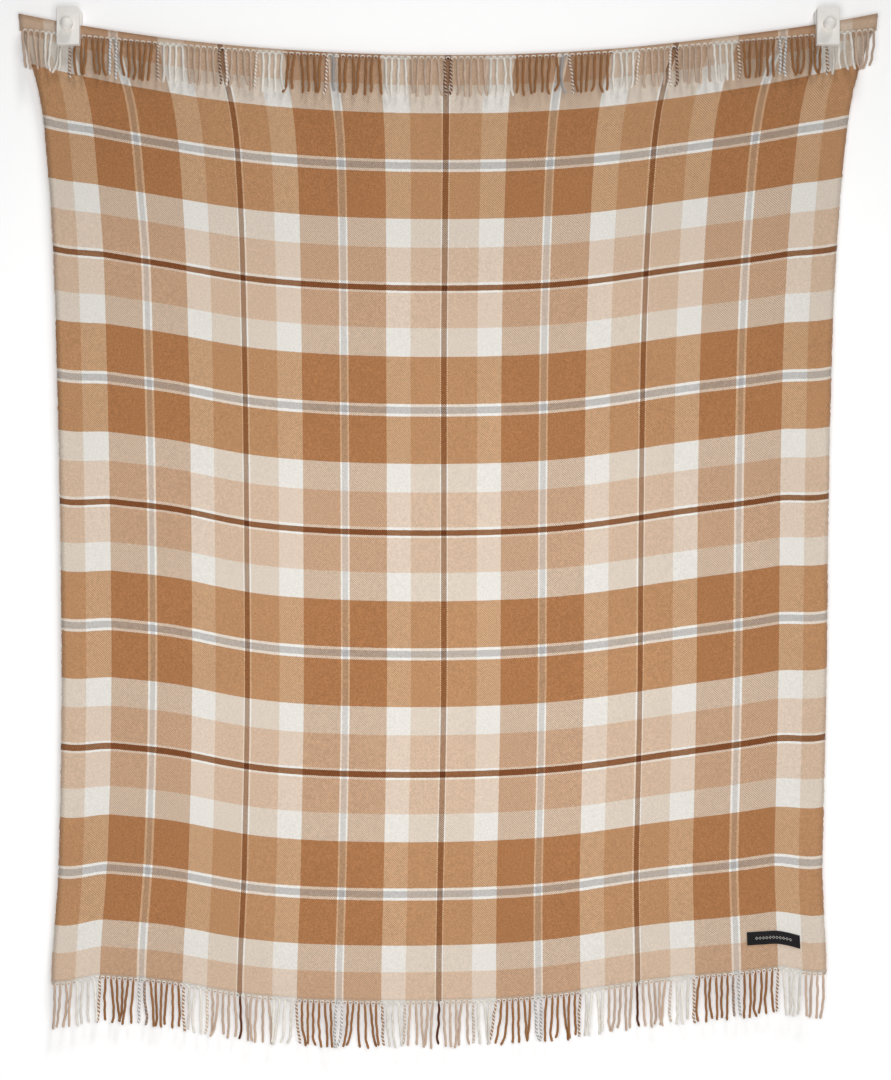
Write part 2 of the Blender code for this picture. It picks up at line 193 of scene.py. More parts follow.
# Half of each repeat as (yarn, width), from the middle line outwards; it is mirrored and repeated.
WARP_ORDER = (
    (DARK_WARP, 0.00405),
    (IVORY, 0.0018),
    (BEIGE, 0.0485),
    (WHITE, 0.0404),
    (BROWN, 0.0613),
    (IVORY, 0.0032),
    (GREY, 0.00465),
)
WEFT_ORDER = (
    (GREY, 0.0055),
    (IVORY, 0.0042),
    (BROWN_WEFT, 0.0780),
    (WHITE, 0.0473),
    (TAN, 0.0570),
    (IVORY, 0.0038),
    (DARK_WEFT, 0.00535),
)
# A twisted cord looks deeper or paler than the same yarn brushed flat.
CORD_DYE = {BROWN: (0.360, 0.165, 0.060), BEIGE: (0.660, 0.500, 0.385), WHITE: (0.880, 0.840, 0.770)}
FIRST_WEFT_LINE = 0.1908
LAST_WEFT_LINE = 1.3977
WEFT_PACKING = 0.0054
HEM_OPENING = 0.07
HEADING_LENGTH = 0.0046
# Strength of the painted shade on the cloth under the top cords and along the fold.
CORD_PAINTED_SHADE = 0.26
FOLD_PAINTED_SHADE = 0.6
THREAD_PITCH = 0.000925
TWILL_COUNT = 4


def half_repeat(order):
    return sum(width for _, width in order)


def yarn_at(order, place):
    """The yarn that lies at a distance from the line the order starts at."""
    half = half_repeat(order)
    place = abs(place) % (2 * half)
    place = min(place, 2 * half - place)
    for yarn, width in order:
        place -= width
        if place <= 0:
            return yarn
    return order[-1][0]


def packed(s):
    """Where along the order of the weft a place s of the cloth falls. The weft is packed a little unevenly."""
    share = min(max((s - FIRST_WEFT_LINE) / (LAST_WEFT_LINE - FIRST_WEFT_LINE), 0), 1)
    opened = HEM_OPENING * max(0, s - LAST_WEFT_LINE - 0.04)
    return s + opened - WEFT_PACKING * math.sin(math.pi * share**1.25)


# -------- how the cloth hangs


def ease(start, end, value):
    t = min(max((value - start) / (end - start), 0), 1)
    return t * t * (3 - 2 * t)


def flap_length(u):
    return FLAP_AT_MIDDLE + (FLAP_AT_CORNER - FLAP_AT_MIDDLE) * abs(u / HALF_WIDTH) ** 3


def flap_x(u, v):
    """The folded-over end keeps more of the fold's width than the face behind it."""
    return cloth_x(u, 0.35 * v)


def hem_v(u):
    return CLOTH_LENGTH + FLAP_AT_MIDDLE - flap_length(u)


def low_share(v):
    return ease(CLOTH_LENGTH - BOTTOM_REACH, CLOTH_LENGTH, v)


def hump(share, middle, width):
    return math.exp(-(((share - middle) / width) ** 2))


def swell(share, v):
    """A soft fold from each clamp and one near the hem lift the cloth there."""
    left = hump(share, -LEFT_SWELL_AT, LEFT_SWELL_WIDTH) * min(v / 0.8, 1)
    grown = (0.3 + 0.7 * ease(0, 0.55, v)) * (1 - 0.35 * ease(0.6, 1, v))
    right = hump(share, RIGHT_SWELL_AT, RIGHT_SWELL_WIDTH) * grown
    low = hump(share, HEM_SWELL_AT, HEM_SWELL_WIDTH) * ease(1.2, 1.5, v)
    return LEFT_SWELL * left + RIGHT_SWELL * right + HEM_SWELL * low


def cloth_x(u, v):
    share = u / HALF_WIDTH
    shoulders = TOP_SPREAD - WAIST_SPREAD - CORNER_SPREAD
    corners = CORNER_SPREAD * hump(v, 0, CORNER_REACH)
    spread = 1 + WAIST_SPREAD + corners + shoulders * math.exp(-v / SPREAD_REACH)
    spread += HEM_SPREAD * ease(CLOTH_LENGTH - HEM_SPREAD_REACH, CLOTH_LENGTH, v)
    drift = TOP_DRIFT * ease(0, 0.06, v) + MIDDLE_DRIFT * ease(0.06, 0.55, v)
    drift += BOTTOM_DRIFT * ease(1.0, CLOTH_LENGTH, v)
    inner = (INNER_SPREAD + FOLD_INNER_SPREAD * math.exp(-v / INNER_REACH)) * math.sin(math.pi * share)
    gathered = LEFT_GATHER * hump(share, -LEFT_GATHER_AT, LEFT_GATHER_WIDTH)
    gathered *= ease(0.2, 0.4, v) * (1 - ease(1.2, 1.5, v))
    return drift + u * spread + inner + gathered


def bolt_dip(u, v):
    """The fold is pushed down between the plates, so that it passes under the bolt."""
    top_sag = (MIDDLE_SAG + TOP_EXTRA_SAG) * (CLAMP_U / HALF_WIDTH) ** 2
    fold = top_sag - FOLD_DROP - TOP_DROP + swell(math.copysign(CLAMP_U / HALF_WIDTH, u), 0)
    rest = fold + FOLD_RADIUS + CLOTH_THICKNESS / 2
    depth = min(max(rest + BOLT_RADIUS + CLOTH_TO_BOLT, 0), 0.8 * BOLT_DIP_REACH)
    across = (abs(u) - CLAMP_U) * (1 + TOP_SPREAD) / BOLT_DIP_WIDTH
    return depth * math.exp(-across * across) * max(0, 1 - v / BOLT_DIP_REACH)


def cloth_z(u, v):
    share = u / HALF_WIDTH
    sag = MIDDLE_SAG + TOP_EXTRA_SAG * math.exp(-v / TOP_SAG_REACH) - BOTTOM_LOST_SAG * low_share(v)
    droop = TOP_DROOP + MIDDLE_DROOP * min(v / DROOP_FULL_AT, 1) + BOTTOM_DROOP * low_share(v)
    droop *= ease(DROOP_FROM_SHARE, 1, abs(share)) * ease(0, TOP_SAG_REACH, v)
    skew = BOTTOM_SKEW * share * ease(SKEW_START, SKEW_END, v)
    drop = FOLD_DROP + TOP_DROP * math.exp(-v / TOP_DROP_REACH)
    return -drop - v + sag * share * share + swell(share, v) - droop + skew - bolt_dip(u, v)


def ripple(u, v):
    """How far the hanging face stands out from flat, towards the front."""
    broad = 0.5 + 0.5 * math.sin(9.0 * u + 1.4 * v + 0.8)
    narrow = 0.5 + 0.5 * noise.noise(Vector((u * 6.5, v * 2.1, 3.7)))
    edge = ease(0.80, 1, abs(u / HALF_WIDTH))
    grown = ease(0.10, 0.75, v)
    return grown * (BROAD_RIPPLE * broad + NARROW_RIPPLE * narrow + EDGE_RIPPLE * edge)


def cloth_y(u, v):
    return BACK_LAYER_Y - ripple(u, v)


# -------- node helpers


def node(tree, kind, **settings):
    made = tree.nodes.new(kind)
    for name, value in settings.items():
        setattr(made, name, value)
    return made


def feed(tree, sink, source):
    """Sets an input to a plain value, or joins an output to it."""
    if isinstance(source, bpy.types.NodeSocket):
        tree.links.new(source, sink)
    else:
        sink.default_value = source


def sums(tree, operation, *values):
    made = node(tree, "ShaderNodeMath", operation=operation)
    for sink, value in zip(made.inputs, values):
        feed(tree, sink, value)
    return made.outputs[0]


def times(tree, first, second):
    return sums(tree, "MULTIPLY", first, second)


def vector_sums(tree, operation, *values, scale=None):
    made = node(tree, "ShaderNodeVectorMath", operation=operation)
    for sink, value in zip(made.inputs, values):
        feed(tree, sink, value)
    if scale is not None:
        feed(tree, made.inputs["Scale"], scale)
    return made.outputs[0]


def colour_mix(tree, factor, first, second, blend="MIX"):
    made = node(tree, "ShaderNodeMix", data_type="RGBA", blend_type=blend)
    feed(tree, made.inputs[0], factor)
    for sink, value in ((made.inputs[6], first), (made.inputs[7], second)):
        feed(tree, sink, (*value, 1) if isinstance(value, tuple) and len(value) == 3 else value)
    return made.outputs[2]


def mottle(tree, where, scale, detail=2.0, roughness=0.5):
    made = node(tree, "ShaderNodeTexNoise")
    feed(tree, made.inputs["Vector"], where)
    feed(tree, made.inputs["Scale"], scale)
    feed(tree, made.inputs["Detail"], detail)
    feed(tree, made.inputs["Roughness"], roughness)
    return made.outputs["Fac"]


def span(tree, value, low, high, to_low, to_high):
    made = node(tree, "ShaderNodeMapRange")
    for sink, given in zip(made.inputs, (value, low, high, to_low, to_high)):
        feed(tree, sink, given)
    return made.outputs[0]


def group(name, inputs, outputs, kind="ShaderNodeTree"):
    """A new node group with named sockets, and its two end nodes."""
    tree = bpy.data.node_groups.new(name, kind)
    for label, socket, value in inputs:
        made = tree.interface.new_socket(label, in_out="INPUT", socket_type=socket)
        if value is not None:
            made.default_value = value
    for label, socket in outputs:
        tree.interface.new_socket(label, in_out="OUTPUT", socket_type=socket)
    return tree, tree.nodes.new("NodeGroupInput"), tree.nodes.new("NodeGroupOutput")


FLOAT, COLOUR, VECTOR = "NodeSocketFloat", "NodeSocketColor", "NodeSocketVector"
COLOUR_HEIGHT_ROUGHNESS = [("Colour", COLOUR), ("Height", FLOAT), ("Roughness", FLOAT)]


def thread_order(name, order):
    """A group that gives the yarn's colour at a distance from the line its order starts at."""
    tree, given, result = group(name, [("Place", FLOAT, 0.0)], [("Colour", COLOUR)])
    half = half_repeat(order)
    folded = sums(tree, "PINGPONG", given.outputs["Place"], half)
    ramp = node(tree, "ShaderNodeValToRGB")
    ramp.color_ramp.interpolation = "CONSTANT"
    stops = ramp.color_ramp.elements
    start = 0.0
    for number, (yarn, width) in enumerate(order):
        stop = stops[number] if number < 2 else stops.new(1.0)
        stop.position = start / half
        stop.color = (*yarn, 1)
        start += width
    feed(tree, ramp.inputs[0], sums(tree, "DIVIDE", folded, half))
    feed(tree, result.inputs["Colour"], ramp.outputs["Color"])
    return tree


def use_group(tree, inner, **values):
    made = node(tree, "ShaderNodeGroup", node_tree=inner)
    for name, value in values.items():
        feed(tree, made.inputs[name.replace("_", " ")], value)
    return made


def plaid_weave():
    """Brushed two-and-two twill: warp and weft colours by place, mixed by which thread lies on top."""
    inputs = [
        ("Place", VECTOR, None),
        ("Object", VECTOR, None),
        ("Thread", FLOAT, THREAD_PITCH),
        ("Hem", FLOAT, packed(FLAT_LENGTH)),
    ]
    tree, given, result = group("plaid weave", inputs, COLOUR_HEIGHT_ROUGHNESS)
    place = given.outputs["Place"]
    solid = given.outputs["Object"]
    thread = given.outputs["Thread"]
    parts = node(tree, "ShaderNodeSeparateXYZ")
    feed(tree, parts.inputs[0], place)
    wander = sums(tree, "SUBTRACT", mottle(tree, solid, 90.0, 2.0), 0.5)
    across = sums(tree, "MULTIPLY_ADD", wander, 0.0009, parts.outputs[0])
    along = sums(tree, "MULTIPLY_ADD", wander, -0.0011, parts.outputs[1])

    warp_count = sums(tree, "DIVIDE", across, thread)
    weft_count = sums(tree, "DIVIDE", along, thread)
    # A thread keeps one colour across its own width.
    warp_middle = times(tree, sums(tree, "ADD", sums(tree, "FLOOR", warp_count), 0.5), thread)
    weft_middle = times(tree, sums(tree, "ADD", sums(tree, "FLOOR", weft_count), 0.5), thread)
    warp = use_group(tree, thread_order("order of the warp", WARP_ORDER), Place=warp_middle).outputs[0]
    weft_place = sums(tree, "SUBTRACT", weft_middle, FIRST_WEFT_LINE)
    weft = use_group(tree, thread_order("order of the weft", WEFT_ORDER), Place=weft_place).outputs[0]
    heading_start = sums(tree, "SUBTRACT", given.outputs["Hem"], HEADING_LENGTH)
    heading = sums(tree, "GREATER_THAN", parts.outputs[1], heading_start)
    weft = colour_mix(tree, times(tree, heading, 0.95), weft, IVORY)

    step = sums(tree, "SUBTRACT", sums(tree, "FLOOR", warp_count), sums(tree, "FLOOR", weft_count))
    step = sums(tree, "FLOORED_MODULO", sums(tree, "ADD", step, 0.5), float(TWILL_COUNT))
    warp_on_top = sums(tree, "LESS_THAN", step, TWILL_COUNT / 2)

    # Threads of one yarn brush into each other, so the share of the hidden thread still shows.
    warp_share = span(tree, warp_on_top, 0.0, 1.0, 0.17, 0.61)
    weft_share = sums(tree, "SUBTRACT", 1.0, warp_share)
    shades = []
    for yarn, share in ((warp, warp_share), (weft, weft_share)):
        gamma = node(tree, "ShaderNodeGamma")
        feed(tree, gamma.inputs["Color"], yarn)
        feed(tree, gamma.inputs["Gamma"], share)
        shades.append(gamma.outputs[0])
    colour = colour_mix(tree, 1.0, shades[0], shades[1], blend="MULTIPLY")

    grain = mottle(tree, solid, 1150.0, 2.0, 0.6)
    felt = mottle(tree, solid, 330.0, 3.0, 0.6)
    cloudy = mottle(tree, solid, 7.0, 2.0)
    light = times(tree, span(tree, grain, 0.3, 0.7, 0.74, 1.26), span(tree, felt, 0.3, 0.7, 0.80, 1.20))
    light = times(tree, light, span(tree, cloudy, 0.3, 0.7, 0.975, 1.025))
    # Pale wool hides its fibres; dark wool shows them.
    calm = span(tree, colour, 0.15, 0.75, 0.0, 0.62)
    light = sums(tree, "ADD", times(tree, light, sums(tree, "SUBTRACT", 1.0, calm)), calm)
    feed(tree, result.inputs["Colour"], vector_sums(tree, "SCALE", colour, scale=light))

    warp_ridge = sums(tree, "PINGPONG", warp_count, 0.5)
    weft_ridge = sums(tree, "PINGPONG", weft_count, 0.5)
    ridge = sums(tree, "MULTIPLY_ADD", sums(tree, "SUBTRACT", warp_ridge, weft_ridge), warp_on_top, weft_ridge)
    nap = sums(tree, "ADD", times(tree, grain, 0.7), times(tree, felt, 0.9))
    feed(tree, result.inputs["Height"], sums(tree, "ADD", ridge, nap))
    feed(tree, result.inputs["Roughness"], span(tree, grain, 0.2, 0.8, 0.86, 1.0))
    return tree


def spun_yarn():
    """Loose wool fibre over a yarn's own colour."""
    inputs = [("Colour", COLOUR, None), ("Object", VECTOR, None), ("Fibre Scale", FLOAT, 1500.0)]
    tree, given, result = group("spun yarn", inputs, [("Colour", COLOUR), ("Height", FLOAT)])
    solid = given.outputs["Object"]
    fine = mottle(tree, solid, given.outputs["Fibre Scale"], 2.0, 0.6)
    slow = mottle(tree, solid, 120.0, 1.0)
    light = times(tree, span(tree, fine, 0.3, 0.7, 0.86, 1.12), span(tree, slow, 0.3, 0.7, 0.93, 1.07))
    feed(tree, result.inputs["Colour"], vector_sums(tree, "SCALE", given.outputs["Colour"], scale=light))
    feed(tree, result.inputs["Height"], fine)
    return tree


def painted_grain():
    """Brushed paint over close-grained wood, with faint flecks."""
    inputs = [("Colour", COLOUR, None), ("Object", VECTOR, None)]
    tree, given, result = group("painted grain", inputs, COLOUR_HEIGHT_ROUGHNESS)
    solid = given.outputs["Object"]
    stretched = vector_sums(tree, "MULTIPLY", solid, (1.0, 1.0, 0.09))
    grain = mottle(tree, stretched, 900.0, 3.0, 0.6)
    fleck = mottle(tree, solid, 700.0, 2.0, 0.6)
    broad = mottle(tree, solid, 60.0, 2.0)
    light = times(tree, span(tree, fleck, 0.3, 0.7, 0.965, 1.03), span(tree, broad, 0.3, 0.7, 0.97, 1.02))
    feed(tree, result.inputs["Colour"], vector_sums(tree, "SCALE", given.outputs["Colour"], scale=light))
    feed(tree, result.inputs["Height"], sums(tree, "ADD", grain, times(tree, fleck, 0.6)))
    feed(tree, result.inputs["Roughness"], span(tree, grain, 0.3, 0.7, 0.42, 0.56))
    return tree


def surface(name, **plain):
    """A material with one Principled BSDF; plain values go on the shader's own sockets."""
    made = bpy.data.materials.new(name)
    made.use_nodes = True
    tree = made.node_tree
    shader = tree.nodes["Principled BSDF"]
    for socket, value in plain.items():
        shader.inputs[socket.replace("_", " ")].default_value = value
    return made, tree, shader


def bump(tree, shader, height, distance, strength=1.0):
    made = node(tree, "ShaderNodeBump")
    made.inputs["Strength"].default_value = strength
    made.inputs["Distance"].default_value = distance
    feed(tree, made.inputs["Height"], height)
    feed(tree, shader.inputs["Normal"], made.outputs[0])


def coordinates(tree, output="Object"):
    return node(tree, "ShaderNodeTexCoord").outputs[output]


def plaid_material(weave):
    made, tree, shader = surface(
        "brushed_plaid", Sheen_Weight=0.12, Sheen_Roughness=0.5, Specular_IOR_Level=0.15
    )
    place = node(tree, "ShaderNodeUVMap", uv_map="cloth_place").outputs[0]
    used = use_group(tree, weave, Place=place, Object=coordinates(tree))
    # Painted shade: the cloth's colour is darkened and warmed under the top cords and along the fold, where their
    # shadow falls.
    squeeze_or_painted_shade = node(tree, "ShaderNodeAttribute", attribute_name="painted_shade").outputs["Fac"]
    colour = colour_mix(tree, squeeze_or_painted_shade, used.outputs["Colour"], (0.62, 0.52, 0.43), blend="MULTIPLY")
    feed(tree, shader.inputs["Base Color"], colour)
    feed(tree, shader.inputs["Roughness"], used.outputs["Roughness"])
    bump(tree, shader, used.outputs["Height"], 0.00035, 0.8)
    return made


def yarn_material(yarn):
    made, tree, shader = surface("twisted_wool", Roughness=0.92, Sheen_Weight=0.15, Specular_IOR_Level=0.15)
    attribute = node(tree, "ShaderNodeAttribute", attribute_name="yarn_colour")
    used = use_group(tree, yarn, Colour=attribute.outputs["Color"], Object=coordinates(tree))
    feed(tree, shader.inputs["Base Color"], used.outputs["Colour"])
    bump(tree, shader, used.outputs["Height"], 0.0002, 0.8)
    return made


def painted_material(grain):
    made, tree, shader = surface("painted_wood", Specular_IOR_Level=0.4)
    used = use_group(tree, grain, Colour=(0.96, 0.93, 0.88, 1), Object=coordinates(tree))
    feed(tree, shader.inputs["Base Color"], used.outputs["Colour"])
    feed(tree, shader.inputs["Roughness"], used.outputs["Roughness"])
    bump(tree, shader, used.outputs["Height"], 0.00012, 0.6)
    return made


def metal_material(name, colour, roughness):
    made, tree, shader = surface(name, Metallic=1.0)
    solid = coordinates(tree)
    turned_marks = mottle(tree, vector_sums(tree, "MULTIPLY", solid, (1.0, 6.0, 1.0)), 700.0, 3.0)
    deeper = tuple(0.8 * part for part in colour)
    feed(tree, shader.inputs["Base Color"], colour_mix(tree, turned_marks, colour, deeper))
    feed(tree, shader.inputs["Roughness"], span(tree, turned_marks, 0.3, 0.7, roughness - 0.08, roughness + 0.10))
    bump(tree, shader, turned_marks, 0.00005, 0.5)
    return made


def label_material():
    """Black satin-woven ribbon with a plain chain of small diamonds for its motif."""
    made, tree, shader = surface("woven_ribbon", Specular_IOR_Level=0.22, Sheen_Weight=0.04)
    place = node(tree, "ShaderNodeUVMap", uv_map="ribbon_place").outputs[0]
    parts = node(tree, "ShaderNodeSeparateXYZ")
    feed(tree, parts.inputs[0], place)
    across, down = parts.outputs[0], parts.outputs[1]
    # Ribs of the ribbon's own threads
    ribs = sums(tree, "PINGPONG", sums(tree, "DIVIDE", across, 0.00045), 0.5)
    picks = sums(tree, "PINGPONG", sums(tree, "DIVIDE", down, 0.0006), 0.5)
    weave = sums(tree, "ADD", ribs, picks)
    # A chain of diamonds along the middle
    diamond_pitch, diamond_reach, line_width, diamonds = 0.0056, 0.0021, 0.00035, 11
    beside = sums(tree, "PINGPONG", across, diamond_pitch / 2)
    distance = sums(tree, "ADD", beside, sums(tree, "ABSOLUTE", down))
    from_line = sums(tree, "ABSOLUTE", sums(tree, "SUBTRACT", distance, diamond_reach))
    inside = sums(tree, "LESS_THAN", from_line, line_width)
    middle = sums(tree, "LESS_THAN", sums(tree, "ABSOLUTE", across), diamonds / 2 * diamond_pitch)
    motif = times(tree, inside, middle)
    feed(tree, shader.inputs["Base Color"], colour_mix(tree, motif, (0.008, 0.007, 0.008), (0.66, 0.63, 0.58)))
    feed(tree, shader.inputs["Roughness"], span(tree, weave, 0.0, 1.0, 0.72, 0.50))
    bump(tree, shader, sums(tree, "ADD", weave, motif), 0.00012, 0.7)
    return made


# -------- mesh helpers


def placed(name, data):
    """A new object in the scene."""
    made = bpy.data.objects.new(name, data)
    bpy.context.scene.collection.objects.link(made)
    return made


def new_piece(name, mesh, material=None, smooth=True):
    made = placed(name, mesh)
    if material:
        mesh.materials.append(material)
    if smooth:
        mesh.shade_smooth()
    return made


def mesh_from(shape, name):
    """Turns a bmesh into a mesh whose faces point outwards."""
    bmesh.ops.recalc_face_normals(shape, faces=shape.faces)
    mesh = bpy.data.meshes.new(name)
    shape.to_mesh(mesh)
    shape.free()
    return mesh


def settled(piece):
    """Replaces a piece's mesh by what its modifiers make of it, and removes them."""
    graph = bpy.context.evaluated_depsgraph_get()
    mesh = bpy.data.meshes.new_from_object(piece.evaluated_get(graph), depsgraph=graph)
    piece.modifiers.clear()
    old = piece.data
    piece.data = mesh
    mesh.name = piece.name
    bpy.data.meshes.remove(old)
    return piece


def sheet_piece(name, uv_name, columns, thickness, material, marked=None):
    """A sheet of even thickness, from columns of (point, place on the flat sheet, mark at the point)."""
    shape = bmesh.new()
    layer = shape.loops.layers.uv.new(uv_name)
    marks = shape.verts.layers.float.new(marked) if marked else None
    places = {}
    grid = []
    for column in columns:
        grid.append([])
        for point, place, mark in column:
            made = shape.verts.new(point)
            places[made] = place
            if marked:
                made[marks] = mark
            grid[-1].append(made)
    for left, right in zip(grid, grid[1:]):
        for i in range(len(left) - 1):
            face = shape.faces.new((left[i], left[i + 1], right[i + 1], right[i]))
            for loop in face.loops:
                loop[layer].uv = places[loop.vert]
    mesh = bpy.data.meshes.new(name)
    shape.to_mesh(mesh)
    shape.free()
    piece = new_piece(name, mesh, material)
    thick = piece.modifiers.new("thickness", "SOLIDIFY")
    thick.thickness = thickness
    thick.offset = 0
    return settled(piece)


def line_mesh(name, lines):
    """Lines of (point, girth, yarn of the first ply, yarn of the second) as a mesh of edges."""
    points, edges, girths, firsts, seconds = [], [], [], [], []
    for line in lines:
        for number, (point, girth, first, second) in enumerate(line):
            if number:
                edges.append((len(points) - 1, len(points)))
            points.append(point)
            girths.append(girth)
            firsts.append((*first, 1))
            seconds.append((*second, 1))
    mesh = bpy.data.meshes.new(name)
    mesh.from_pydata(points, edges, [])
    mesh.attributes.new("girth", "FLOAT", "POINT").data.foreach_set("value", girths)
    for label, colours in (("first_ply", firsts), ("second_ply", seconds)):
        flat = [part for colour in colours for part in colour]
        mesh.attributes.new(label, "FLOAT_COLOR", "POINT").data.foreach_set("color", flat)
    return mesh


def spinning_tree():
    """Geometry nodes that spin yarn along every line of a mesh: plies wound round each other."""
    inputs = [
        ("Lines", "NodeSocketGeometry", None),
        ("Plies", "NodeSocketInt", 2),
        ("Ply Radius", FLOAT, 0.00136),
        ("Winding Radius", FLOAT, 0.00106),
        ("Winding Length", FLOAT, 0.0062),
        ("Point Spacing", FLOAT, 0.00088),
        ("Sides", "NodeSocketInt", 5),
        ("Wool", "NodeSocketMaterial", None),
    ]
    tree, given, result = group("spin yarn", inputs, [("Yarn", "NodeSocketGeometry")], "GeometryNodeTree")
    sizes = given.outputs

    def attribute(name, kind):
        found = node(tree, "GeometryNodeInputNamedAttribute", data_type=kind)
        found.inputs["Name"].default_value = name
        return found.outputs["Attribute"]

    curve = node(tree, "GeometryNodeMeshToCurve")
    feed(tree, curve.inputs[0], sizes["Lines"])
    even = node(tree, "GeometryNodeResampleCurve", mode="LENGTH")
    feed(tree, even.inputs["Curve"], curve.outputs[0])
    feed(tree, even.inputs["Length"], sizes["Point Spacing"])
    plies = node(tree, "GeometryNodeDuplicateElements", domain="SPLINE")
    feed(tree, plies.inputs["Geometry"], even.outputs[0])
    feed(tree, plies.inputs["Amount"], sizes["Plies"])
    ply = plies.outputs["Duplicate Index"]

    length = node(tree, "GeometryNodeSplineParameter").outputs["Length"]
    turn = sums(tree, "DIVIDE", length, sizes["Winding Length"])
    turn = sums(tree, "ADD", turn, sums(tree, "DIVIDE", ply, sizes["Plies"]))
    turn = times(tree, turn, -math.tau)
    normal = node(tree, "GeometryNodeInputNormal").outputs[0]
    tangent = node(tree, "GeometryNodeInputTangent").outputs[0]
    side = vector_sums(tree, "CROSS_PRODUCT", tangent, normal)
    reach = times(tree, sizes["Winding Radius"], attribute("girth", "FLOAT"))
    first = vector_sums(tree, "SCALE", normal, scale=times(tree, reach, sums(tree, "COSINE", turn)))
    second = vector_sums(tree, "SCALE", side, scale=times(tree, reach, sums(tree, "SINE", turn)))
    wound = node(tree, "GeometryNodeSetPosition")
    feed(tree, wound.inputs["Geometry"], plies.outputs["Geometry"])
    feed(tree, wound.inputs["Offset"], vector_sums(tree, "ADD", first, second))

    dyed = node(tree, "GeometryNodeStoreNamedAttribute", data_type="FLOAT_COLOR", domain="POINT")
    feed(tree, dyed.inputs["Geometry"], wound.outputs[0])
    dyed.inputs["Name"].default_value = "yarn_colour"
    colour = colour_mix(tree, ply, attribute("first_ply", "FLOAT_COLOR"), attribute("second_ply", "FLOAT_COLOR"))
    feed(tree, dyed.inputs["Value"], colour)

    outline = node(tree, "GeometryNodeCurvePrimitiveCircle")
    feed(tree, outline.inputs["Resolution"], sizes["Sides"])
    feed(tree, outline.inputs["Radius"], sizes["Ply Radius"])
    tube = node(tree, "GeometryNodeCurveToMesh")
    feed(tree, tube.inputs["Curve"], dyed.outputs[0])
    feed(tree, tube.inputs["Profile Curve"], outline.outputs[0])
    feed(tree, tube.inputs["Scale"], attribute("girth", "FLOAT"))
    tube.inputs["Fill Caps"].default_value = True
    real = node(tree, "GeometryNodeRealizeInstances")
    feed(tree, real.inputs[0], tube.outputs[0])
    finished = node(tree, "GeometryNodeSetMaterial")
    feed(tree, finished.inputs["Geometry"], real.outputs[0])
    feed(tree, finished.inputs["Material"], sizes["Wool"])
    feed(tree, result.inputs["Yarn"], finished.outputs[0])
    return tree


def spin(name, lines, tree, wool, **sizes):
    """Spins yarn along lines and returns it as one plain mesh."""
    piece = new_piece(name, line_mesh(name, lines), smooth=False)
    spun = piece.modifiers.new("spin yarn", "NODES")
    spun.node_group = tree
    given = {"Wool": wool, **{key.replace("_", " "): value for key, value in sizes.items()}}
    for item in tree.interface.items_tree:
        if item.item_type == "SOCKET" and item.in_out == "INPUT" and item.name in given:
            spun[item.identifier] = given[item.name]
    settled(piece)
    shape = bmesh.new()
    shape.from_mesh(piece.data)
    if shape.calc_volume(signed=True) < 0:
        bmesh.ops.reverse_faces(shape, faces=shape.faces)
        shape.to_mesh(piece.data)
    shape.free()
    for spare in ("girth", "first_ply", "second_ply"):
        if spare in piece.data.attributes:
            piece.data.attributes.remove(piece.data.attributes[spare])
    piece.data.shade_smooth()
    return piece


# -------- cloth


def cloth_columns():
    places = [-HALF_WIDTH + CLOTH_WIDTH * i / CLOTH_COLUMNS for i in range(CLOTH_COLUMNS + 1)]
    steps = (-0.020, -0.0155, -0.012, -0.009, -0.006, -0.003, 0, 0.003, 0.006, 0.009, 0.012, 0.0155, 0.020)
    near_bolts = [side * CLAMP_U + step / (1 + TOP_SPREAD) for side in (-1, 1) for step in steps]
    kept = [p for p in places if all(abs(p - q) > 0.0012 for q in near_bolts)]
    return sorted(kept + [p for p in near_bolts if abs(p) < HALF_WIDTH - 0.001])


def cloth_rows(u):
    """(point, s) down the cloth at one place across it: the flap, the fold, and the hanging face."""
    flap = flap_length(u)
    rows = []
    for share in (1, 0.7, 0.35, 0):
        v = share * flap
        rows.append(((flap_x(u, v), FRONT_LAYER_Y, cloth_z(u, v)), flap - v))
    middle_y = (FRONT_LAYER_Y + BACK_LAYER_Y) / 2
    for step in range(1, FOLD_ROWS):
        turn = math.pi * step / FOLD_ROWS
        y = middle_y - FOLD_RADIUS * math.cos(turn)
        z = cloth_z(u, 0) + FOLD_RADIUS * math.sin(turn)
        rows.append(((cloth_x(u, 0), y, z), flap + FOLD_ARC * step / FOLD_ROWS))
    for step in range(CLOTH_ROWS + 1):
        v = hem_v(u) * (step / CLOTH_ROWS) ** 1.12
        rows.append(((cloth_x(u, v), cloth_y(u, v), cloth_z(u, v)), flap + FOLD_ARC + v))
    return rows


def selvedge_shift(u, s):
    """The outermost warp threads are pulled in and let out by each pick of the weft."""
    if abs(u) < HALF_WIDTH - 1e-6:
        return 0
    return math.copysign(0.0011, u) * noise.noise(Vector((s * 180, u * 9, 1.3)))


def blanket_cloth(material):
    columns = []
    for u in cloth_columns():
        column = []
        for (x, y, z), s in cloth_rows(u):
            below_cords = s - 2 * flap_length(u) - TOP_CORD_LENGTH
            from_fold = abs(s - flap_length(u) - FOLD_ARC / 2)
            # Painted shade: how much the cloth's colour is darkened under the top cords and along the fold.
            shade_under_cords = CORD_PAINTED_SHADE * (1 - ease(-0.016, 0.008, below_cords))
            shade_at_fold = FOLD_PAINTED_SHADE * (1 - ease(0.001, 0.007, from_fold))
            column.append(((x + selvedge_shift(u, s), y, z), (u, packed(s)), shade_under_cords + shade_at_fold))
        columns.append(column)
    return sheet_piece("blanket_cloth", "cloth_place", columns, CLOTH_THICKNESS, material, "painted_shade")


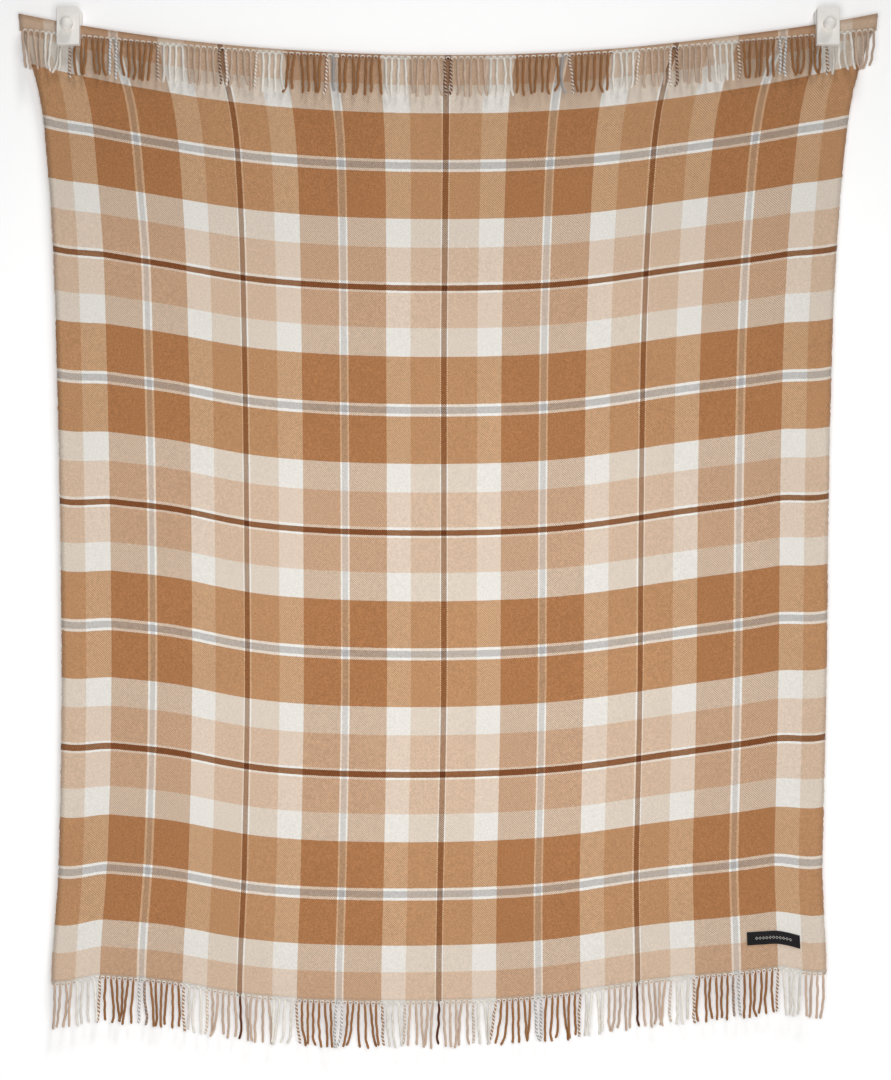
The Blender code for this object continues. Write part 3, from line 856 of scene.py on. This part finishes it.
def selvedge(side, name, tree, wool):
    """The weft turning round the outermost warp: a row of small loops down one edge."""
    u = side * HALF_WIDTH
    line = []
    pitch = THREAD_PITCH * TWILL_COUNT
    points_each = 6
    flap = flap_length(u)
    total = int(hem_v(u) / pitch * points_each)
    rng = random.Random(11 if side < 0 else 12)
    size = 1.0
    for i in range(total):
        v = 0.001 + (hem_v(u) - 0.002) * i / total
        if i % points_each == 0:
            size = rng.uniform(0.3, 1.25)
        turn = math.tau * i / points_each
        out = 0.0004 + 0.0009 * size * (0.5 - 0.5 * math.cos(turn))
        depth = 0.0007 * math.sin(turn)
        s = flap + FOLD_ARC + v
        weft = yarn_at(WEFT_ORDER, packed(s) - FIRST_WEFT_LINE)
        shade = tuple(0.92 * w**0.75 * b**0.25 for w, b in zip(weft, BEIGE))
        x = cloth_x(u, v) + selvedge_shift(u, s) + side * out
        line.append(((x, cloth_y(u, v) + depth, cloth_z(u, v)), 1.0, shade, shade))
    return spin(
        name, [line], tree, wool,
        Plies=1, Ply_Radius=0.00065, Winding_Radius=0.0, Point_Spacing=0.0007, Sides=5,
    )


# -------- cut ends


class CutEnd:
    """One cut end of the cloth: where its edge is, and the cords that hang from it."""

    def __init__(self, name, count, seed):
        self.name = name
        self.count = count
        self.top = name == "top"
        self.seed = seed
        self.cord_length = TOP_CORD_LENGTH if self.top else BOTTOM_CORD_LENGTH
        self.pitch = CLOTH_WIDTH / count

    def v(self, u):
        return flap_length(u) if self.top else hem_v(u)

    def edge(self, u):
        u = min(max(u, -HALF_WIDTH), HALF_WIDTH)
        v = self.v(u)
        if self.top:
            return Vector((flap_x(u, v), FRONT_LAYER_Y, cloth_z(u, v)))
        return Vector((cloth_x(u, v), cloth_y(u, v), cloth_z(u, v)))

    def places(self):
        return [-HALF_WIDTH + self.pitch * (k + 0.5) for k in range(self.count)]


def under_jaw(x, z):
    """1 where a cord is pressed behind a clamp's jaw, falling to 0 just outside it."""
    half_width = (jaw_high.x - jaw_low.x) / 2
    beside = 1 - ease(half_width, half_width + 0.004, abs(abs(x) - CLAMP_X))
    below = 1 - ease(0.001, 0.006, jaw_low.z - z)
    return beside * below


def cord_line(end, number, u, rng):
    """One hanging cord as points with girth and the colours of its two plies."""
    root = end.edge(u)
    first = yarn_at(WARP_ORDER, u - 0.25 * end.pitch)
    second = yarn_at(WARP_ORDER, u + 0.25 * end.pitch)
    if first == second == DARK_WARP:
        second = BEIGE if end.top else DARK_WEFT
    tone = rng.uniform(0.90, 1.06)
    first, second = (tuple(tone * part for part in CORD_DYE.get(yarn, yarn)) for yarn in (first, second))
    length = end.cord_length * rng.uniform(0.955, 1.05)
    drift = noise.noise(Vector((number * 0.26, end.seed, 0.0)))
    lean = 0.17 * drift + rng.uniform(-0.055, 0.055)
    outer = max(0, abs(u) - (HALF_WIDTH - 0.03)) / 0.03
    lean -= math.copysign(0.13 * outer, u) if end.top else 0
    bow = 0.055 * noise.noise(Vector((number * 0.9, end.seed + 5.0, 2.0))) + rng.uniform(-0.02, 0.02)
    hook = rng.choice((0, 0, 0, 0, 0.10, -0.10, 0.19, -0.19))
    layer = number % 2
    line = []
    for i in range(CORD_STEPS + 1):
        t = i / CORD_STEPS
        hooked = max(0, t - HOOK_START)
        swing = lean * t**1.4 + bow * math.sin(math.pi * t) + hook * hooked**1.5 * 3
        kink = 0.0013 * ease(0, 0.2, t) * noise.noise(Vector((t * 5.5, number * 1.7, end.seed)))
        x = root.x + length * swing + kink
        z = root.z - CORD_ROOT - (length - CORD_ROOT) * (t - 0.10 * abs(hook) * hooked)
        girth = 1.0 + 0.12 * ease(0.90, 0.97, t) - 0.35 * ease(0.975, 1.0, t) - 0.15 * (1 - ease(0, 0.12, t))
        if end.top:
            y = root.y - CORD_STAND_OFF - TOP_LAYER_STEP * layer * ease(0.05, 0.45, t)
            squeeze_or_painted_shade = under_jaw(x, z)
            y += (root.y - 0.0001 - y) * squeeze_or_painted_shade
            girth *= 1 - JAW_SQUEEZE * squeeze_or_painted_shade
        else:
            y = root.y + (0.0020 - BOTTOM_LAYER_STEP * layer) * ease(0.05, 0.5, t)
            y += 0.003 * rng.uniform(-0.1, 0.1) * t
        line.append(((x, y, z), girth, first, second))
    return line


def root_threads(end, u, line):
    """The warp threads that gather from the cut edge into one cord."""
    (joined, _, _, _) = line[1]
    joined = Vector(joined)
    lines = []
    for share in (-0.46, -0.24, 0.0, 0.24, 0.46):
        place = u + share * end.pitch
        start = end.edge(place)
        yarn = yarn_at(WARP_ORDER, place)
        below = Vector((start.x, start.y, start.z - 0.0014 - 0.0006 * abs(share)))
        waist = Vector((joined.x + share * 0.0022, joined.y, (joined.z + start.z) / 2))
        lines.append(
            [
                (Vector((start.x, start.y, start.z + 0.0007)), 1.0, yarn, yarn),
                (below, 1.0, yarn, yarn),
                (waist, 0.85, yarn, yarn),
                (joined + Vector((share * 0.0012, 0, 0)), 0.75, yarn, yarn),
            ]
        )
    return lines


def block_edges():
    """The sides of the blocks of warp colour, from left to right."""
    beige, white, brown = BEIGE_BLOCK, WHITE_BLOCK, BROWN_BLOCK
    widths = [beige / 2, white, brown, white, beige, white, brown, white]
    edges = [0.0]
    for width in widths:
        edges.append(edges[-1] + width)
    right = edges[1:] + [HALF_WIDTH]
    return [-edge for edge in reversed(right)] + right


def cords(end, tree, wool):
    """The fringe of one end, one piece for each block of warp colour."""
    edges = block_edges()
    sections = [[] for _ in range(BLOCKS)]
    roots = [[] for _ in range(BLOCKS)]
    rng = random.Random(end.seed)
    for number, u in enumerate(end.places()):
        section = next(i for i in range(BLOCKS) if u <= edges[i + 1] + 1e-9)
        line = cord_line(end, number, u, rng)
        sections[section].append(line)
        roots[section] += root_threads(end, u, line)
    pieces = []
    for section in range(BLOCKS):
        colour = ("beige", "white", "brown", "white")[section % 4]
        label = f"{section + 1:02d}_{colour}"
        twisted = spin(f"{end.name}_cords_{label}", sections[section], tree, wool)
        gathered = spin(
            f"{end.name}_roots_{label}", roots[section], tree, wool,
            Plies=1, Ply_Radius=0.00092, Winding_Radius=0.0, Point_Spacing=0.0016, Sides=5,
        )
        pieces.append((twisted, gathered, f"{end.name}_fringe_{label}", f"fringe_{colour}"))
    return pieces


def whipping(end, tree, wool):
    """Pale thread looped over the cut edge between each two cords."""
    lines = []
    rng = random.Random(end.seed + 40)
    places = end.places()
    front = -CLOTH_THICKNESS / 2 - 0.0001
    for left, right in zip(places, places[1:]):
        tone = rng.uniform(0.90, 1.0)
        yarn = tuple(tone * part for part in (0.93, 0.90, 0.84))
        line = []
        for i in range(11):
            t = i / 10
            u = left + (right - left) * (0.16 + 0.68 * t)
            edge = end.edge(u)
            arch = (4 * t * (1 - t)) ** 0.5
            z = edge.z - 0.0036 + 0.0048 * arch
            y = edge.y + front * (0.35 + 0.95 * arch)
            line.append(((edge.x, y, z), 1.0, yarn, yarn))
        lines.append(line)
    return spin(
        f"{end.name}_whipping", lines, tree, wool,
        Ply_Radius=0.00066, Winding_Radius=0.00046, Winding_Length=0.003, Point_Spacing=0.0006, Sides=4,
    )


# -------- label


LABEL_WIDTH = 0.088
LABEL_HEIGHT = 0.0215
LABEL_THICKNESS = 0.0007
LABEL_SEAM_INSET = 0.0018
LABEL_U = HALF_WIDTH - 0.0860
LABEL_V = hem_v(LABEL_U) - 0.0525


def on_label(across, down, out):
    u, v = LABEL_U + across, LABEL_V + down
    return (cloth_x(u, v), cloth_y(u, v) - CLOTH_THICKNESS / 2 - out, cloth_z(u, v))


def woven_ribbon(material):
    """A ribbon with both short ends folded under, so that it stands thicker there."""
    count, rows = 56, 14
    columns = []
    for i in range(count + 1):
        across = LABEL_WIDTH * (i / count - 0.5)
        end = ease(LABEL_WIDTH / 2 - 0.009, LABEL_WIDTH / 2 - 0.0075, abs(across))
        column = []
        for j in range(rows + 1):
            down = LABEL_HEIGHT * (j / rows - 0.5)
            pulled = ease(0.6, 1, abs(2 * j / rows - 1)) * ease(0.8, 1, abs(2 * i / count - 1))
            out = 0.0009 + 0.0004 * end + 0.00025 * (1 - abs(2 * j / rows - 1)) - 0.0002 * pulled
            column.append((on_label(across, down, out), (across, down), 0))
        columns.append(column)
    return sheet_piece("woven_ribbon", "ribbon_place", columns, LABEL_THICKNESS, material)


def ribbon_seam(tree, wool):
    """Short running stitches just inside the ribbon's edge."""
    across = LABEL_WIDTH / 2 - LABEL_SEAM_INSET
    down = LABEL_HEIGHT / 2 - LABEL_SEAM_INSET
    corners = [(-across, -down), (across, -down), (across, down), (-across, down)]
    stitch, black = 0.0024, (0.02, 0.018, 0.018)
    lines = []
    for (x0, z0), (x1, z1) in zip(corners, corners[1:] + corners[:1]):
        length = math.hypot(x1 - x0, z1 - z0)
        count = round(length / stitch)
        for i in range(count):
            line = []
            for t, out in ((0.08, 0.0009), (0.25, 0.0019), (0.5, 0.0021), (0.75, 0.0019), (0.92, 0.0009)):
                share = (i + t) / count
                point = on_label(x0 + (x1 - x0) * share, z0 + (z1 - z0) * share, out)
                line.append((point, 1.0, black, black))
            lines.append(line)
    return spin(
        "ribbon_seam", lines, tree, wool,
        Ply_Radius=0.00016, Winding_Radius=0.00010, Winding_Length=0.0012, Point_Spacing=0.0003, Sides=4,
    )


# -------- clamps


def turned(profile, x, steps=64):
    """A solid turned round the bolt's axis from (radius, distance along -Y) points."""
    shape = bmesh.new()
    line = [shape.verts.new((radius, -out, 0)) for radius, out in profile]
    edges = [shape.edges.new(pair) for pair in zip(line, line[1:])]
    bmesh.ops.spin(shape, geom=line + edges, cent=(0, 0, 0), axis=(0, 1, 0), angle=math.tau, steps=steps)
    bmesh.ops.remove_doubles(shape, verts=shape.verts, dist=1e-6)
    bmesh.ops.translate(shape, verts=shape.verts, vec=(x, 0, 0))
    return shape


def board(name, low, high, material, ways):
    """A painted plate with cut top corners and rounded edges, bored where its bolt and screw pass."""
    corner = PLATE_CORNER_CUT
    x0, x1, z0, z1 = low.x, high.x, low.z, high.z
    top = [(x1, z1 - corner), (x1 - corner, z1), (x0 + corner, z1), (x0, z1 - corner)]
    outline = [(x0, z0), (x1, z0), *top]
    shape = bmesh.new()
    face = shape.faces.new([shape.verts.new((x, high.y, z)) for x, z in outline])
    grown = bmesh.ops.extrude_face_region(shape, geom=[face])
    moved = [item for item in grown["geom"] if isinstance(item, bmesh.types.BMVert)]
    bmesh.ops.translate(shape, verts=moved, vec=(0, low.y - high.y, 0))
    made = new_piece(name, mesh_from(shape, name), material, smooth=False)
    rounded = made.modifiers.new("rounded edges", "BEVEL")
    rounded.width = PLATE_ROUNDING
    rounded.segments = 4
    cutters = []
    for number, (profile, x, z) in enumerate(ways):
        tool_shape = turned(profile, x, 32)
        bmesh.ops.translate(tool_shape, verts=tool_shape.verts, vec=(0, 0, z))
        tool = new_piece(f"{name}_way_{number}", mesh_from(tool_shape, "way"))
        bored = made.modifiers.new("bored", "BOOLEAN")
        bored.operation = "DIFFERENCE"
        bored.object = tool
        cutters.append(tool)
    settled(made)
    for tool in cutters:
        bpy.data.objects.remove(tool)
    made.data.shade_smooth()
    made.data.set_sharp_from_angle(angle=SHARP_FROM)
    return made


def clamp(side, x, paint):
    """The two plates and the knob of one clamp."""
    thickness = -plate_low.y
    through = thickness + PAST_FACE
    bolt_way = [
        (0, -PAST_FACE),
        (BOLT_HEAD_SEAT_RADIUS, -PAST_FACE),
        (BOLT_HEAD_SEAT_RADIUS, BOLT_HEAD_SEAT_DEPTH),
        (BOLT_HOLE_RADIUS, BOLT_HEAD_SEAT_DEPTH),
        (BOLT_HOLE_RADIUS, through),
        (0, through),
    ]
    sink = thickness - SCREW_SINK_DEPTH
    screw_way = [
        (0, -PAST_FACE),
        (SCREW_HOLE_RADIUS, -PAST_FACE),
        (SCREW_HOLE_RADIUS, sink),
        (SCREW_HOLE_RADIUS + SCREW_SINK_SLOPE * (through - sink), through),
        (0, through),
    ]
    ways = [(bolt_way, x, 0), (screw_way, x, SCREW_HEIGHT)]
    plate = board(f"{side}_wall_plate", *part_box(f"{side}_back_plate"), paint, ways)
    start, end = -JAW_BACK_Y - PAST_FACE, -jaw_low.y + PAST_FACE
    jaw_way = [(0, start), (BOLT_HOLE_RADIUS, start), (BOLT_HOLE_RADIUS, end), (0, end)]
    jaw = board(f"{side}_clamping_jaw", *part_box(f"{side}_front_jaw"), paint, [(jaw_way, x, 0)])

    base = -KNOB_BASE_Y
    radius = (knob_high.x - knob_low.x) / 2
    height = KNOB_BASE_Y - knob_low.y
    profile = [
        (0, base + KNOB_BORE_DEPTH),
        (KNOB_BORE_RADIUS, base + KNOB_BORE_DEPTH),
        (KNOB_BORE_RADIUS, base + 0.0002),
        (KNOB_BORE_RADIUS + 0.0002, base),
        (KNOB_FOOT_RADIUS - KNOB_FOOT_ROUNDING, base),
    ]
    for step in range(9):
        turn = step / 8
        wide = KNOB_FOOT_RADIUS + (radius - KNOB_FOOT_RADIUS) * math.sin(turn * math.pi / 2)
        profile.append((wide, base + KNOB_FOOT_ROUNDING + (KNOB_WIDEST_AT - KNOB_FOOT_ROUNDING) * turn))
    for step in range(1, 17):
        turn = math.pi / 2 * step / 16
        wide = radius * math.cos(turn) if step < 16 else 0
        profile.append((wide, base + KNOB_WIDEST_AT + (height - KNOB_WIDEST_AT) * math.sin(turn)))
    knob_mesh = mesh_from(turned(profile, x), f"{side}_round_knob")
    knob = new_piece(f"{side}_round_knob", knob_mesh, paint)
    knob_mesh.set_sharp_from_angle(angle=SHARP_FROM)
    return plate, jaw, knob


# -------- making it all


weave = plaid_weave()
wool_fibre = spun_yarn()
plaid = plaid_material(weave)
wool = yarn_material(wool_fibre)
paint = painted_material(painted_grain())
steel = metal_material("turned_steel", (0.55, 0.55, 0.56), 0.34)
brass = metal_material("turned_brass", (0.70, 0.52, 0.22), 0.34)
ribbon_black = label_material()
spinning = spinning_tree()

ROOT = "hanging_blanket"
on_the_cloth = []


def dress(piece, body, replaced):
    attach(piece, body)
    if replaced:
        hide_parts(replaced)


cloth = blanket_cloth(plaid)
dress(cloth, ROOT, "woven_cloth")
for side, name in ((-1, "left_selvedge"), (1, "right_selvedge")):
    edge = selvedge(side, name, spinning, wool)
    dress(edge, ROOT, None)
    on_the_cloth.append(edge)

for end in (CutEnd("top", TOP_CORDS, 3), CutEnd("bottom", BOTTOM_CORDS, 8)):
    thread = whipping(end, spinning, wool)
    dress(thread, ROOT, f"{end.name}_whip_stitching")
    on_the_cloth.append(thread)
    for twisted, gathered, replaced, slot in cords(end, spinning, wool):
        dress(twisted, ROOT, replaced)
        dress(gathered, ROOT, None)
        on_the_cloth += [twisted, gathered]

ribbon = woven_ribbon(ribbon_black)
dress(ribbon, ROOT, "woven_label")
seam = ribbon_seam(spinning, wool)
dress(seam, ROOT, "label_stitching")
on_the_cloth += [ribbon, seam]

for side, x in (("left", -CLAMP_X), ("right", CLAMP_X)):
    plate, jaw, knob = clamp(side, x, paint)
    dress(plate, ROOT, f"{side}_back_plate")
    dress(jaw, f"{side}_jaw", f"{side}_front_jaw")
    dress(knob, f"{side}_knob", f"{side}_knob")
    for name, metal in ((f"{side}_clamp_bolt", steel), (f"{side}_knob_insert", brass)):
        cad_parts[name].data.materials.clear()
        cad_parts[name].data.materials.append(metal)

# -------- studio


FLOOR_Z = -1.87
WALL_Y = 0.0006
WALL_SIDE = 4
WALL_TOP = 2.5
WALL_GLOW = 0.168
WORLD_STRENGTH = 0.15
CAMERA_PLACE = (-0.0043, -2.503, -0.8495)


def stage_plane(name, corners, material):
    mesh = bpy.data.meshes.new(name)
    mesh.from_pydata(corners, [], [(0, 1, 2, 3)])
    made = new_piece(name, mesh, material, smooth=False)


def wall_material():
    """White wall, seen from the front only, so that it never hides the blanket's back or its light."""
    made, tree, shader = surface("studio_white", Roughness=1.0, Specular_IOR_Level=0.0)
    shader.inputs["Base Color"].default_value = (1, 1, 1, 1)
    shader.inputs["Emission Color"].default_value = (1, 1, 1, 1)
    shader.inputs["Emission Strength"].default_value = WALL_GLOW
    clear = node(tree, "ShaderNodeBsdfTransparent")
    from_camera = node(tree, "ShaderNodeLightPath").outputs["Is Camera Ray"]
    front = sums(tree, "SUBTRACT", 1.0, node(tree, "ShaderNodeNewGeometry").outputs["Backfacing"])
    mixed = node(tree, "ShaderNodeMixShader")
    feed(tree, mixed.inputs[0], times(tree, from_camera, front))
    feed(tree, mixed.inputs[1], clear.outputs[0])
    feed(tree, mixed.inputs[2], shader.outputs[0])
    feed(tree, tree.nodes["Material Output"].inputs["Surface"], mixed.outputs[0])
    return made


def floor_material():
    made, tree, shader = surface("pale_floor", Roughness=0.9, Specular_IOR_Level=0.1)
    shader.inputs["Base Color"].default_value = (0.72, 0.72, 0.72, 1)
    return made


wall = [(-WALL_SIDE, FLOOR_Z), (WALL_SIDE, FLOOR_Z), (WALL_SIDE, WALL_TOP), (-WALL_SIDE, WALL_TOP)]
floor = [(-5, -6), (5, -6), (5, 6), (-5, 6)]
stage_plane("back_wall", [(x, WALL_Y, z) for x, z in wall], wall_material())
stage_plane("floor", [(x, y, FLOOR_Z) for x, y in floor], floor_material())


def area_light(name, place, target, size, power):
    data = bpy.data.lights.new(name, "AREA")
    data.shape = "RECTANGLE"
    data.size, data.size_y = size
    data.energy = power
    made = placed(name, data)
    made.location = place
    made.rotation_euler = (Vector(target) - Vector(place)).to_track_quat("-Z", "Y").to_euler()


middle = Vector((0, 0, (cad_low.z + cad_high.z) / 2))
area_light("key", (0.02, -1.72, -0.86), middle, (0.9, 0.9), 17.8)
area_light("behind", (0.4, 3.0, 0.2), middle, (2.4, 2.4), 40)

high = bpy.data.lights.new("high", "SUN")
high.energy = 1.55
high.angle = math.radians(14)
high_lamp = placed("high", high)
high_lamp.rotation_euler = Vector((-0.28, 0.36, -0.89)).to_track_quat("-Z", "Y").to_euler()

world = bpy.data.worlds.new("pale studio")
bpy.context.scene.world = world
world.use_nodes = True
world.node_tree.nodes["Background"].inputs["Color"].default_value = (1, 1, 1, 1)
world.node_tree.nodes["Background"].inputs["Strength"].default_value = WORLD_STRENGTH
bpy.context.scene.view_settings.view_transform = "Standard"

camera_data = bpy.data.cameras.new("camera")
camera_data.lens = 50
camera_data.sensor_width = 36
camera = placed("camera", camera_data)
camera.location = CAMERA_PLACE
camera.rotation_euler = (math.pi / 2, 0, 0)
bpy.context.scene.camera = camera
